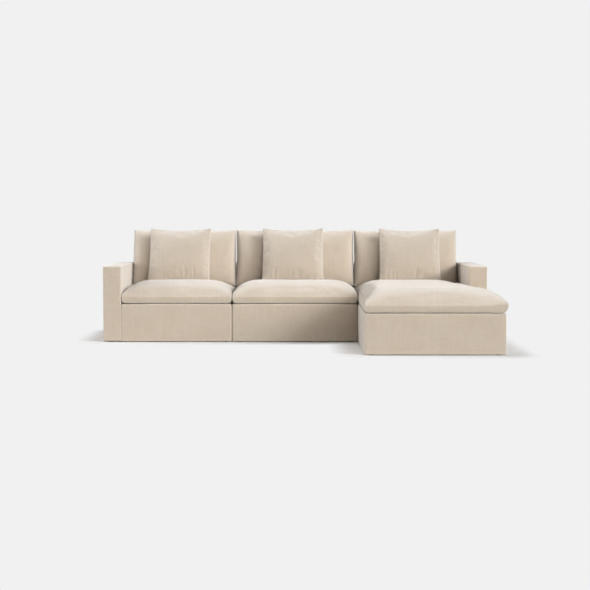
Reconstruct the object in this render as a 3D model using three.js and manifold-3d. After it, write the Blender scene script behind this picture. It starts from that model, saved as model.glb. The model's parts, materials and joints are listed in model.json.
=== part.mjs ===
import * as THREE from "three";
import { mergeVertices } from "three/addons/utils/BufferGeometryUtils.js";
import Module from "manifold-3d";

const wasm = await Module();
wasm.setup();

// Sectional sofa of three modules: a left one with an arm, a centre one without arms, and a right one
// with an arm whose base and cushion run out in front as a chaise. Millimetres, X along the sofa,
// Y from front to back, Z up. The sofa's own front is at Y 0 until the whole is centred at the end.

// Overall sizes
const overallWidth = 3050;
const centreWidth = 1004;
const sofaDepth = 950;
const chaiseReach = 1000;
const armWidth = 142;
const armHeight = 600;
const baseHeight = 301;
const backDepth = 90;
const moduleGap = 6;

// What two touching pieces keep between them
const touchGap = 0.3;

// Upholstery over the frames
const coverWall = 10;
const coverPadding = 20;
const coverRadius = 18;
const panelRadius = 14;
const panelLip = 60;
const hemHeight = 6;

// Timber frame
const boardWall = 25;
const plyWall = 18;
const railHeight = 225;
const ledgerHeight = 60;
const stileWidth = 60;
const cutoutRadius = 30;
const cutoutMargin = 45;
const cutoutCount = 3;

// Feet and the dust cloth that they are screwed through
const footHeight = 42;
const footInset = 52;
const footTopRadius = 27;
const footWaistRadius = 19;
const footGlideRadius = 23;
const footGlideHeight = 5;
const footWaistHeight = 14;
const footSides = 12;
const dustWall = 1.5;

// Woven seat webbing
const strapWall = 3;
const strapWidth = 60;
const strapFuse = 0.4;
const lengthStraps = 5;
const crossStraps = 4;
const earStraps = 1;

// Interlocking steel cleats that hook an end module onto the centre one
const cleatWall = 2.5;
const cleatLength = 300;
const cleatFlange = 32;
const cleatLip = 20;
const cleatJoggle = 7;
const cleatHeight = 165;

// Seat cushions
const seatBackGap = 4;
const seatSideGap = 3;
const seatSeamHeight = 88;
const seatCrown = 82;
const seatCrownRun = 420;
const seatCornerRadius = 34;
const seatNotchRadius = 8;
const seatDrawIn = 6;
const seatCrestY = 350;
const chaiseOverhang = 16;
const seatRearShare = 0.72;
const crownPower = 5.5;
const seatTuck = 20;
const freeEndTuck = 45;
const sideTuckShares = [[1, 0], [0.36, 0.14], [0, 0.5], [0.3, 1]];
const crownRingShares = [0.955, 0.88, 0.77, 0.62, 0.44, 0.22];

// Back cushions, which lean on the low back
const backCushionHeight = 496;
const backCushionFront = 105;
const backCushionRear = 32;
const backLean = THREE.MathUtils.degToRad(20);
const backSag = 16;
const backDrawIn = 1;
const backSidePower = 8;
const backSideRoot = 0.5;
const backSideGap = 0.5;

// Throw pillows
const pillowWidth = 508;
const pillowHeight = 480;
const pillowFront = 88;
const pillowRear = 46;
const pillowLean = THREE.MathUtils.degToRad(25);
const pillowDrawIn = 5;
const pillowSag = 24;
const pillowBaseSag = 8;
const pillowStart = 560;

// How far each pillow stands to the right of its seat's middle
const leftPillowShift = -11;
const centrePillowShift = -9;
const chaisePillowShift = 23;

const arcSteps = 5;
const filletSteps = 4;
const sideSteps = 6;
const knifeSteps = 12;
const knifePower = 2;
const knifeRoot = 0.62;

// Places that several pieces share
const frontFace = 0;
const chaiseFront = frontFace - chaiseReach;
const backFront = sofaDepth - backDepth;
const leftSide = -overallWidth / 2;
const rightSide = overallWidth / 2;
const leftArmInner = leftSide + armWidth;
const rightArmInner = rightSide - armWidth;
const centreLeft = -centreWidth / 2 + moduleGap / 2;
const centreRight = centreWidth / 2 - moduleGap / 2;
const leftEnd = centreLeft - moduleGap;
const chaiseStart = centreRight + moduleGap;
const wallSeat = coverWall + touchGap;
const railBottom = footHeight + dustWall + 2 * touchGap;
const railTop = railBottom + railHeight;
const frameTop = armHeight - coverPadding - touchGap;
const railRear = frontFace + wallSeat + boardWall;
const ledgerFront = backFront + wallSeat;
const panelRear = sofaDepth - wallSeat;
const strapLevel = railTop + touchGap;
const padLevel = strapLevel + 2 * strapWall;
const seatLevel = baseHeight + touchGap;

const fabric = (name, colour) => new THREE.MeshStandardMaterial({ name, color: colour, roughness: 0.9 });
const palette = {
  upholstery: () => fabric("upholstery", 0xcdbfac),
  pillow: () => fabric("upholstery", 0xd3c6b4),
  deck: () => fabric("deck_cloth", 0xb9ac9a),
  webbing: () => fabric("webbing", 0xa88d62),
  dust: () => fabric("dust_cloth", 0x26262a),
  timber: () => new THREE.MeshStandardMaterial({ name: "timber", color: 0xc9a06a, roughness: 0.65 }),
  steel: () => new THREE.MeshStandardMaterial({
    name: "steel", color: 0xa9adb0, roughness: 0.4, metalness: 0.9,
  }),
  plastic: () => new THREE.MeshStandardMaterial({ name: "foot", color: 0x1d1d1f, roughness: 0.7 }),
};

const sofa = new THREE.Group();
const pieces = {};

function add(name, geometry, finish) {
  const mesh = new THREE.Mesh(geometry, palette[finish]());
  mesh.name = name;
  sofa.add(mesh);
  pieces[name] = mesh;
  return mesh;
}

// Solids for cutting and joining

function solidOf(geometry) {
  const bare = geometry.clone();
  bare.deleteAttribute("normal");
  bare.deleteAttribute("uv");
  const merged = mergeVertices(bare);
  return new wasm.Manifold(new wasm.Mesh({
    numProp: 3,
    vertProperties: Float32Array.from(merged.attributes.position.array),
    triVerts: Uint32Array.from(merged.index.array),
  }));
}

function geometryOf(solid) {
  const mesh = solid.getMesh();
  const geometry = new THREE.BufferGeometry();
  geometry.setAttribute("position", new THREE.BufferAttribute(mesh.vertProperties, mesh.numProp));
  geometry.setIndex(new THREE.BufferAttribute(mesh.triVerts, 1));
  geometry.computeVertexNormals();
  return geometry;
}

function joined(geometries) {
  const [first, ...others] = geometries.map(solidOf);
  return geometryOf(others.reduce((sum, solid) => sum.add(solid), first));
}

function cut(geometry, tools) {
  return geometryOf(tools.map(solidOf).reduce((rest, tool) => rest.subtract(tool), solidOf(geometry)));
}

function blockBetween(low, high) {
  const size = high.clone().sub(low);
  const centre = high.clone().add(low).multiplyScalar(0.5);
  return new THREE.BoxGeometry(size.x, size.y, size.z).translate(centre.x, centre.y, centre.z);
}

const block = (x, y, z) => blockBetween(
  new THREE.Vector3(x[0], y[0], z[0]),
  new THREE.Vector3(x[1], y[1], z[1]),
);

// An outline pulled out along an axis. It is drawn in (Y, Z) for x, in (X, Z) for y, in (X, Y) for z.
const outlineAxes = {
  x: [new THREE.Vector3(0, 1, 0), new THREE.Vector3(0, 0, 1), new THREE.Vector3(1, 0, 0)],
  y: [new THREE.Vector3(1, 0, 0), new THREE.Vector3(0, 0, 1), new THREE.Vector3(0, -1, 0)],
  z: [new THREE.Vector3(1, 0, 0), new THREE.Vector3(0, 1, 0), new THREE.Vector3(0, 0, 1)],
};

function pulled(axis, outline, [start, end]) {
  const shape = outline instanceof THREE.Shape
    ? outline
    : new THREE.Shape(outline.map(([across, up]) => new THREE.Vector2(across, up)));
  const depth = end - start;
  const settings = { depth, bevelEnabled: false, curveSegments: arcSteps };
  const geometry = new THREE.ExtrudeGeometry(shape, settings);
  const basis = new THREE.Matrix4().makeBasis(...outlineAxes[axis]);
  const from = outlineAxes[axis][2].clone().multiplyScalar(axis === "y" ? -end : start);
  return geometry.applyMatrix4(basis.setPosition(from));
}

function roundedSlot([a0, a1], [b0, b1], radius, Kind = THREE.Shape) {
  const outline = new Kind();
  outline.moveTo(a0 + radius, b0);
  outline.lineTo(a1 - radius, b0);
  outline.absarc(a1 - radius, b0 + radius, radius, -Math.PI / 2, 0);
  outline.lineTo(a1, b1 - radius);
  outline.absarc(a1 - radius, b1 - radius, radius, 0, Math.PI / 2);
  outline.lineTo(a0 + radius, b1);
  outline.absarc(a0 + radius, b1 - radius, radius, Math.PI / 2, Math.PI);
  outline.lineTo(a0, b0 + radius);
  outline.absarc(a0 + radius, b0 + radius, radius, Math.PI, 1.5 * Math.PI);
  return outline;
}

// Timber frame

function sheetWithCutouts(span, heights) {
  const sheet = new THREE.Shape([
    new THREE.Vector2(span[0], heights[0]), new THREE.Vector2(span[1], heights[0]),
    new THREE.Vector2(span[1], heights[1]), new THREE.Vector2(span[0], heights[1]),
  ]);
  const clear = span[1] - span[0] - (cutoutCount + 1) * stileWidth;
  const width = clear / cutoutCount;
  for (let i = 0; i < cutoutCount; i += 1) {
    const start = span[0] + stileWidth + i * (width + stileWidth);
    const window = [railTop + cutoutMargin, heights[1] - cutoutMargin];
    sheet.holes.push(roundedSlot([start, start + width], window, cutoutRadius, THREE.Path));
  }
  return sheet;
}

function rail(name, x, y) {
  return add(name, block(x, y, [railBottom, railTop]), "timber");
}

// A ply sheet at the rear with a top plank and a ledger that carries the webbing
function backFrame(name, x) {
  const sheet = pulled("y", sheetWithCutouts(x, [railBottom, frameTop]), [panelRear - plyWall, panelRear]);
  const depth = [ledgerFront, panelRear];
  return add(name, joined([
    sheet,
    block(x, depth, [frameTop - plyWall, frameTop]),
    block(x, depth, [railTop - ledgerHeight, railTop]),
  ]), "timber");
}

// A ply side sheet towards the seat, planks at the top, front and rear, and a ledger on the seat's side
function armFrame(name, outer, inner) {
  const inward = Math.sign(inner - outer);
  const outerFace = outer + inward * wallSeat;
  const innerFace = inner - inward * wallSeat;
  const ordered = (a, b) => [Math.min(a, b), Math.max(a, b)];
  const across = ordered(outerFace, innerFace);
  const along = [frontFace + wallSeat, panelRear];
  const tall = [railBottom, frameTop];
  return add(name, joined([
    pulled("x", sheetWithCutouts(along, tall), ordered(innerFace - inward * plyWall, innerFace)),
    block(across, along, [frameTop - plyWall, frameTop]),
    block(across, [along[0], along[0] + plyWall], tall),
    block(across, [along[1] - plyWall, along[1]], tall),
    block(
      ordered(innerFace - inward * touchGap, innerFace + inward * boardWall),
      [railRear + touchGap, ledgerFront - touchGap],
      [railTop - ledgerHeight, railTop],
    ),
  ]), "timber");
}

// Webbing: flat straps from front to rear, and cross straps woven over and under them

function evenly(count, [start, end]) {
  const step = (end - start) / count;
  return Array.from({ length: count }, (unused, i) => start + (i + 1 / 2) * step);
}

function crossStrap(y, [x0, x1], crossings, over) {
  const half = strapWidth / 2;
  const swing = strapWall - strapFuse;
  const line = [[x0, 0], [x0 + boardWall, 0]];
  crossings.filter((x) => x > x0 && x < x1).forEach((x, i) => {
    const level = (i % 2 === over ? 1 : -1) * swing;
    line.push([x - half, level], [x + half, level]);
  });
  line.push([x1 - boardWall, 0], [x1, 0]);
  const under = line.map(([x, level]) => [x, strapLevel + level]);
  const upper = line.map(([x, level]) => [x, strapLevel + level + strapWall]).reverse();
  return pulled("y", [...under, ...upper], [y - half, y + half]);
}

function webbing(name, lengths, crosses) {
  const half = strapWidth / 2;
  const height = [strapLevel, strapLevel + strapWall];
  const flat = lengths.map(({ x, span }) => block([x - half, x + half], span, height));
  const crossings = lengths.map(({ x }) => x);
  const woven = crosses.map(({ y, span }, i) => crossStrap(y, span, crossings, i % 2));
  return add(name, joined([...flat, ...woven]), "webbing");
}

// Upholstery panels and covers over the frames

function frontPanel(name, x, face) {
  const outline = new THREE.Shape();
  outline.moveTo(face, hemHeight);
  outline.lineTo(face, baseHeight - panelRadius);
  outline.absarc(face + panelRadius, baseHeight - panelRadius, panelRadius, Math.PI, Math.PI / 2, true);
  outline.lineTo(face + panelLip, baseHeight);
  outline.lineTo(face + panelLip, baseHeight - coverWall);
  outline.lineTo(face + coverWall, baseHeight - coverWall);
  outline.lineTo(face + coverWall, hemHeight);
  return add(name, pulled("x", outline, x), "upholstery");
}

// A side of the chaise, which passes under the front panel's lip
function sidePanel(name, x, rear) {
  const start = chaiseFront + wallSeat;
  const lipEnd = chaiseFront + panelLip + touchGap;
  const underLip = baseHeight - wallSeat;
  return add(name, pulled("x", [
    [start, hemHeight], [rear, hemHeight], [rear, baseHeight],
    [lipEnd, baseHeight], [lipEnd, underLip], [start, underLip],
  ], x), "upholstery");
}

function backCover(name, x) {
  const seat = baseHeight + touchGap;
  const shoulder = armHeight - coverRadius;
  const inside = armHeight - coverPadding;
  const outline = new THREE.Shape();
  outline.moveTo(sofaDepth, hemHeight);
  outline.lineTo(sofaDepth, shoulder);
  outline.absarc(sofaDepth - coverRadius, shoulder, coverRadius, 0, Math.PI / 2);
  outline.lineTo(backFront + coverRadius, armHeight);
  outline.absarc(backFront + coverRadius, shoulder, coverRadius, Math.PI / 2, Math.PI);
  outline.lineTo(backFront, seat);
  outline.lineTo(backFront + coverWall, seat);
  outline.lineTo(backFront + coverWall, inside);
  outline.lineTo(sofaDepth - coverWall, inside);
  outline.lineTo(sofaDepth - coverWall, hemHeight);
  return add(name, pulled("x", outline, x), "upholstery");
}

// A sleeve that closes the arm on top, outside, in front and behind, and inside down to the deck.
// Its front reaches the hem, or stops on the deck where the chaise runs on in front of it.
function armCover(name, outer, inner, frontStop) {
  const inward = Math.sign(inner - outer);
  const [x0, x1] = [Math.min(outer, inner), Math.max(outer, inner)];
  const shoulder = armHeight - coverRadius;
  const outline = new THREE.Shape();
  outline.moveTo(x0, hemHeight);
  outline.lineTo(x1, hemHeight);
  outline.lineTo(x1, shoulder);
  outline.absarc(x1 - coverRadius, shoulder, coverRadius, 0, Math.PI / 2);
  outline.lineTo(x0 + coverRadius, armHeight);
  outline.absarc(x0 + coverRadius, shoulder, coverRadius, Math.PI / 2, Math.PI);
  const along = [frontFace + coverWall, sofaDepth - coverWall];
  const cavity = block([x0 + coverWall, x1 - coverWall], along, [0, armHeight - coverPadding]);
  const innerWall = [inner - inward * armWidth / 2, inner + inward * coverWall].sort((a, b) => a - b);
  const belowDeck = block(innerWall, along, [0, baseHeight + touchGap]);
  const frontWall = [inner + inward * coverWall, outer + inward * coverWall].sort((a, b) => a - b);
  const inFront = block(frontWall, [frontFace - coverWall, along[0] + touchGap], [0, frontStop]);
  const sleeve = pulled("y", outline, [frontFace, sofaDepth]);
  return add(name, cut(sleeve, [cavity, belowDeck, inFront]), "upholstery");
}

// Feet, turned with a wide glide below and a flared top

function foot(name, x, y) {
  const profile = [
    [0, 0], [footGlideRadius, 0], [footGlideRadius, footGlideHeight], [footWaistRadius, footWaistHeight],
    [footTopRadius, footHeight], [0, footHeight],
  ].map(([radius, height]) => new THREE.Vector2(radius, height));
  const turned = new THREE.LatheGeometry(profile, footSides).rotateX(Math.PI / 2);
  const mesh = add(name, turned, "plastic");
  mesh.position.set(x, y, 0);
  return mesh;
}

// Cleats: a flange on the rail and a lip that stands off it, so that two of them hook together.
// The gap between the modules holds both lips with three equal clearances.
function cleat(name, railFace, outward, upward) {
  const slack = (moduleGap - 2 * cleatWall) / 3;
  const near = slack;
  const far = 2 * slack + cleatWall;
  const middle = cleatLip / 2;
  const foldLevel = -middle - cleatJoggle;
  const outline = [
    [near, foldLevel - cleatFlange], [near + cleatWall, foldLevel - cleatFlange],
    [near + cleatWall, foldLevel], [far + cleatWall, -middle],
    [far + cleatWall, middle], [far, middle], [far, -middle], [near, foldLevel],
  ].map(([off, level]) => [railFace + outward * off, cleatHeight + upward * level]);
  const along = [(sofaDepth - cleatLength) / 2, (sofaDepth + cleatLength) / 2];
  return add(name, pulled("y", outline, along), "steel");
}

// Seat cushions: rings of the plan outline climb the rounded side, tucked in below and above, and then,
// scaled about a middle point, the crown. The crown rises with the distance from the nearest edge, and
// falls off behind its crest, where the back cushion stands. An end that nothing holds, from freeFrom
// on along X, is tucked in further below, so that it rounds into a nose.

function cushionOutline(corners) {
  const points = [];
  const around = (i) => corners[(i + corners.length) % corners.length];
  const radiusAt = (i) => {
    const [before, corner, next] = [around(i - 1), around(i), around(i + 1)];
    const turn = corner.clone().sub(before).cross(next.clone().sub(corner));
    return turn > 0 ? seatCornerRadius : seatNotchRadius;
  };
  corners.forEach((corner, i) => {
    const next = around(i + 1);
    const toNext = next.clone().sub(corner).normalize();
    const toBefore = around(i - 1).clone().sub(corner).normalize();
    const start = corner.clone().addScaledVector(toBefore, radiusAt(i));
    const end = corner.clone().addScaledVector(toNext, radiusAt(i));
    const fillet = new THREE.QuadraticBezierCurve(start, corner, end);
    points.push(...fillet.getPoints(filletSteps));
    const inwards = new THREE.Vector2(-toNext.y, toNext.x);
    const stop = next.clone().addScaledVector(toNext, -radiusAt(i + 1));
    for (let k = 1; k < sideSteps; k += 1) {
      const along = k / sideSteps;
      const dip = 4 * along * (1 - along);
      points.push(end.clone().lerp(stop, along).addScaledVector(inwards, seatDrawIn * dip));
    }
  });
  return points;
}

function edgeDistance(place, corners) {
  const distances = corners.map((corner, i) => {
    const side = corners[(i + 1) % corners.length].clone().sub(corner);
    const along = THREE.MathUtils.clamp(place.clone().sub(corner).dot(side) / side.lengthSq(), 0, 1);
    return corner.clone().addScaledVector(side, along).distanceTo(place);
  });
  return Math.min(...distances);
}

function crownHeight(place, corners) {
  const rear = Math.max(...corners.map((corner) => corner.y));
  const behind = Math.max(0, (place.y - seatCrestY) / (rear - seatCrestY));
  const outward = 1 - Math.min(1, edgeDistance(place, corners) / seatCrownRun);
  return seatCrown * (1 - outward ** crownPower) * (1 - seatRearShare * behind ** 2);
}

function seatCushion(name, corners, middle, freeFrom = Infinity) {
  const outline = cushionOutline(corners);
  const count = outline.length;
  const vertices = [middle.x, middle.y, seatLevel];
  const inwards = outline.map((point, i) => {
    const [before, next] = [outline[(i + count - 1) % count], outline[(i + 1) % count]];
    return new THREE.Vector2(before.y - next.y, next.x - before.x).normalize();
  });
  const onCrown = (place) => seatLevel + seatSeamHeight + crownHeight(place, corners);
  const end = Math.max(...corners.map((corner) => corner.x));
  const tuckAt = ({ x }) => {
    const free = x > freeFrom ? (x - freeFrom) / (end - freeFrom) : 0;
    return THREE.MathUtils.lerp(seatTuck, freeEndTuck, free ** 2);
  };
  sideTuckShares.forEach(([tuck, rise]) => outline.forEach((point, i) => {
    const place = point.clone().addScaledVector(inwards[i], tuck * tuckAt(point));
    vertices.push(place.x, place.y, seatLevel + rise * seatSeamHeight);
  }));
  crownRingShares.forEach((share) => outline.forEach((point) => {
    const place = middle.clone().lerp(point, share);
    vertices.push(place.x, place.y, onCrown(place));
  }));
  vertices.push(middle.x, middle.y, onCrown(middle));
  const rings = sideTuckShares.length + crownRingShares.length;
  const faces = [];
  const at = (level, i) => 1 + level * count + (i % count);
  for (let i = 0; i < count; i += 1) {
    faces.push(0, at(0, i + 1), at(0, i));
    for (let level = 0; level + 1 < rings; level += 1) {
      faces.push(at(level, i), at(level, i + 1), at(level + 1, i + 1));
      faces.push(at(level, i), at(level + 1, i + 1), at(level + 1, i));
    }
    faces.push(at(rings - 1, i), at(rings - 1, i + 1), 1 + rings * count);
  }
  const geometry = new THREE.BufferGeometry();
  geometry.setAttribute("position", new THREE.Float32BufferAttribute(vertices, 3));
  geometry.setIndex(faces);
  geometry.computeVertexNormals();
  return add(name, geometry, "upholstery");
}

// Knife-edged cushions: a front and a rear skin meet along one seam, with pointed corners. The sides are
// drawn in between them, the top sags and the bottom arches. Towards the sides the skins swell with the
// share (1 - |u|^sidePower)^sideRoot, so a high power keeps them full up to a blunt side, as a cushion
// is that stands wedged between its neighbours. X across, Y up the cushion, Z towards the sitter.

function knifeCushion(name, finish, shape) {
  const { width, height, front, rear, drawIn, sag, lean } = shape;
  const { baseSag = sag, sidePower = knifePower, sideRoot = knifeRoot } = shape;
  const row = knifeSteps + 1;
  const shareAt = (i) => Math.sin((i / knifeSteps - 1 / 2) * Math.PI);
  const vertices = [];
  const index = { front: [], rear: [] };
  for (let j = 0; j < row; j += 1) {
    for (let i = 0; i < row; i += 1) {
      const [u, v] = [shareAt(i), shareAt(j)];
      const x = u * (width / 2 - drawIn * (1 - v * v));
      const y = v * (height / 2 - (v > 0 ? sag : baseSag) * (1 - u * u));
      const edge = i === 0 || j === 0 || i === knifeSteps || j === knifeSteps;
      const across = edge ? 0 : (1 - Math.abs(u) ** sidePower) ** sideRoot;
      const swell = across * (edge ? 0 : (1 - Math.abs(v) ** knifePower) ** knifeRoot);
      index.front.push(vertices.length / 3);
      vertices.push(x, y, front * swell);
      index.rear.push(edge ? index.front[index.front.length - 1] : vertices.length / 3);
      if (!edge) vertices.push(x, y, -rear * swell);
    }
  }
  const faces = [];
  for (let j = 0; j < knifeSteps; j += 1) {
    for (let i = 0; i < knifeSteps; i += 1) {
      const [a, b, c, d] = [j * row + i, j * row + i + 1, (j + 1) * row + i + 1, (j + 1) * row + i];
      const rising = (i < knifeSteps / 2) === (j < knifeSteps / 2);
      const split = rising ? [a, b, c, a, c, d] : [a, b, d, b, c, d];
      faces.push(...split.map((corner) => index.front[corner]));
      faces.push(...split.map((corner) => index.rear[corner]).reverse());
    }
  }
  const geometry = new THREE.BufferGeometry();
  geometry.setAttribute("position", new THREE.Float32BufferAttribute(vertices, 3));
  geometry.setIndex(faces);
  geometry.computeVertexNormals();
  const mesh = add(name, geometry, finish);
  mesh.rotation.x = Math.PI / 2 - lean;
  return mesh;
}

// Seating: a piece slides along a direction until it all but touches another

function shadowOf(mesh, [across, up, ahead]) {
  mesh.updateMatrixWorld(true);
  const source = mesh.geometry.attributes.position;
  const points = Array.from({ length: source.count }, (unused, i) => {
    const point = new THREE.Vector3().fromBufferAttribute(source, i).applyMatrix4(mesh.matrixWorld);
    return [point.dot(across), point.dot(up), point.dot(ahead)];
  });
  const order = mesh.geometry.index ? Array.from(mesh.geometry.index.array) : points.map((p, i) => i);
  const triangles = [];
  const edges = [];
  for (let i = 0; i < order.length; i += 3) {
    const corners = [order[i], order[i + 1], order[i + 2]].map((at) => points[at]);
    triangles.push(corners);
    corners.forEach((corner, k) => edges.push([corner, corners[(k + 1) % 3]]));
  }
  return { points, triangles, edges };
}

function depthInTriangle([x, y], [a, b, c]) {
  const area = (b[0] - a[0]) * (c[1] - a[1]) - (c[0] - a[0]) * (b[1] - a[1]);
  if (area === 0) return null;
  const s = ((x - a[0]) * (c[1] - a[1]) - (c[0] - a[0]) * (y - a[1])) / area;
  const t = ((b[0] - a[0]) * (y - a[1]) - (x - a[0]) * (b[1] - a[1])) / area;
  if (s < 0 || t < 0 || s + t > 1) return null;
  return a[2] + s * (b[2] - a[2]) + t * (c[2] - a[2]);
}

function gapAtCrossing([a, b], [c, d]) {
  const apart = Math.max(a[0], b[0]) < Math.min(c[0], d[0]) || Math.max(c[0], d[0]) < Math.min(a[0], b[0])
    || Math.max(a[1], b[1]) < Math.min(c[1], d[1]) || Math.max(c[1], d[1]) < Math.min(a[1], b[1]);
  if (apart) return null;
  const turn = (b[0] - a[0]) * (d[1] - c[1]) - (b[1] - a[1]) * (d[0] - c[0]);
  if (turn === 0) return null;
  const s = ((c[0] - a[0]) * (d[1] - c[1]) - (c[1] - a[1]) * (d[0] - c[0])) / turn;
  const t = ((c[0] - a[0]) * (b[1] - a[1]) - (c[1] - a[1]) * (b[0] - a[0])) / turn;
  if (s < 0 || s > 1 || t < 0 || t > 1) return null;
  return c[2] + t * (d[2] - c[2]) - a[2] - s * (b[2] - a[2]);
}

function slideTo(mesh, stop, direction) {
  const ahead = direction.clone().normalize();
  const across = new THREE.Vector3(1, 0, 0);
  const axes = [across, ahead.clone().cross(across), ahead];
  const moving = shadowOf(mesh, axes);
  const still = shadowOf(stop, axes);
  const gaps = [];
  moving.points.forEach((point) => still.triangles.forEach((triangle) => {
    const depth = depthInTriangle(point, triangle);
    if (depth !== null) gaps.push(depth - point[2]);
  }));
  still.points.forEach((point) => moving.triangles.forEach((triangle) => {
    const depth = depthInTriangle(point, triangle);
    if (depth !== null) gaps.push(point[2] - depth);
  }));
  moving.edges.forEach((edge) => still.edges.forEach((other) => {
    const gap = gapAtCrossing(edge, other);
    if (gap !== null) gaps.push(gap);
  }));
  const least = gaps.reduce((low, gap) => Math.min(low, gap), Infinity);
  mesh.position.addScaledVector(ahead, least - touchGap);
}

// Lowered onto the seat, pushed back until it leans, let down along its own slope, and leaned again
function settle(mesh, seat, support, lean) {
  const down = new THREE.Vector3(0, 0, -1);
  const back = new THREE.Vector3(0, 1, 0);
  const downSlope = new THREE.Vector3(0, -Math.sin(lean), -Math.cos(lean));
  slideTo(mesh, seat, down);
  slideTo(mesh, support, back);
  slideTo(mesh, seat, downSlope);
  slideTo(mesh, support, back);
}

// The three modules

const rectangle = ([x0, x1], [y0, y1]) => [[x0, y0], [x1, y0], [x1, y1], [x0, y1]]
  .map(([x, y]) => new THREE.Vector2(x, y));
const seatRear = backFront - seatBackGap;

function soften(module, seatX, { corners, middle, freeFrom }, pillowShift) {
  const seat = seatCushion(`${module}_seat_cushion`, corners, middle, freeFrom);
  const centre = (seatX[0] + seatX[1]) / 2;
  const back = knifeCushion(`${module}_back_cushion`, "upholstery", {
    width: seatX[1] - seatX[0] - 2 * backSideGap,
    height: backCushionHeight,
    front: backCushionFront,
    rear: backCushionRear,
    drawIn: backDrawIn,
    sag: backSag,
    lean: backLean,
    sidePower: backSidePower,
    sideRoot: backSideRoot,
  });
  back.position.set(centre, backFront, armHeight);
  settle(back, seat, pieces[`${module}_back_cover`], backLean);
  const pillow = knifeCushion(`${module}_throw_pillow`, "pillow", {
    width: pillowWidth,
    height: pillowHeight,
    front: pillowFront,
    rear: pillowRear,
    drawIn: pillowDrawIn,
    sag: pillowSag,
    baseSag: pillowBaseSag,
    lean: pillowLean,
  });
  pillow.position.set(centre + pillowShift, pillowStart, armHeight);
  settle(pillow, seat, back, pillowLean);
}

function squareSeat(seatX) {
  const corners = rectangle([seatX[0] + seatSideGap, seatX[1] - seatSideGap], [frontFace, seatRear]);
  return { corners, middle: corners[0].clone().add(corners[2]).divideScalar(2) };
}

function deck(module, outline) {
  add(`${module}_deck_pad`, pulled("z", outline, [padLevel, baseHeight]), "deck");
}

function dustCover(module, x, front) {
  const level = footHeight + touchGap;
  add(`${module}_dust_cover`, block(x, [front, panelRear], [level, level + dustWall]), "dust");
}

function feet(module, places) {
  Object.entries(places).forEach(([place, [x, y]]) => foot(`${module}_foot_${place}`, x, y));
}

function sofaStraps([x0, x1], y) {
  const lengths = evenly(lengthStraps, [x0 + boardWall, x1 - boardWall]).map((x) => ({ x, span: y }));
  const inside = [y[0] + boardWall, y[1] - boardWall];
  return { lengths, crosses: evenly(crossStraps, inside).map((at) => ({ y: at, span: [x0, x1] })) };
}

function sofaModule(module, base, cover) {
  const front = [frontFace + wallSeat, railRear];
  rail(`${module}_front_rail`, base, front);
  const { lengths, crosses } = sofaStraps(base, [front[0], panelRear - plyWall - touchGap]);
  webbing(`${module}_seat_webbing`, lengths, crosses);
  backFrame(`${module}_back_frame`, cover);
  frontPanel(`${module}_front_panel`, cover, frontFace);
  backCover(`${module}_back_cover`, cover);
  const padY = [frontFace + panelLip + touchGap, backFront];
  deck(module, rectangle(cover, padY).map((point) => point.toArray()));
}

function leftModule() {
  const base = [leftArmInner - coverWall, leftEnd];
  const cover = [leftArmInner + touchGap, leftEnd];
  const sideY = [railRear + touchGap, ledgerFront - touchGap];
  armFrame("left_arm_frame", leftSide, leftArmInner);
  armCover("left_arm_cover", leftSide, leftArmInner, hemHeight);
  sofaModule("left", base, cover);
  rail("left_side_rail", [leftEnd - boardWall, leftEnd], sideY);
  dustCover("left", [leftSide + wallSeat, leftEnd], frontFace + wallSeat);
  const x = [leftSide + footInset, leftEnd - footInset];
  const y = [frontFace + footInset, sofaDepth - footInset];
  feet("left", {
    front_outer: [x[0], y[0]], front_inner: [x[1], y[0]],
    rear_outer: [x[0], y[1]], rear_inner: [x[1], y[1]],
  });
  cleat("left_cleat", leftEnd, 1, -1);
  const seatX = [leftArmInner, leftEnd + moduleGap / 2];
  soften("left", seatX, squareSeat(seatX), leftPillowShift);
}

function centreModule() {
  const base = [centreLeft, centreRight];
  const sideY = [railRear + touchGap, ledgerFront - touchGap];
  sofaModule("centre", base, base);
  rail("centre_left_rail", [centreLeft, centreLeft + boardWall], sideY);
  rail("centre_right_rail", [centreRight - boardWall, centreRight], sideY);
  dustCover("centre", base, frontFace + wallSeat);
  const x = [centreLeft + footInset, centreRight - footInset];
  const y = [frontFace + footInset, sofaDepth - footInset];
  feet("centre", {
    front_left: [x[0], y[0]], front_right: [x[1], y[0]],
    rear_left: [x[0], y[1]], rear_right: [x[1], y[1]],
  });
  cleat("centre_left_cleat", centreLeft, -1, 1);
  cleat("centre_right_cleat", centreRight, 1, 1);
  const seatX = [centreLeft - moduleGap / 2, centreRight + moduleGap / 2];
  soften("centre", seatX, squareSeat(seatX), centrePillowShift);
}

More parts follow.
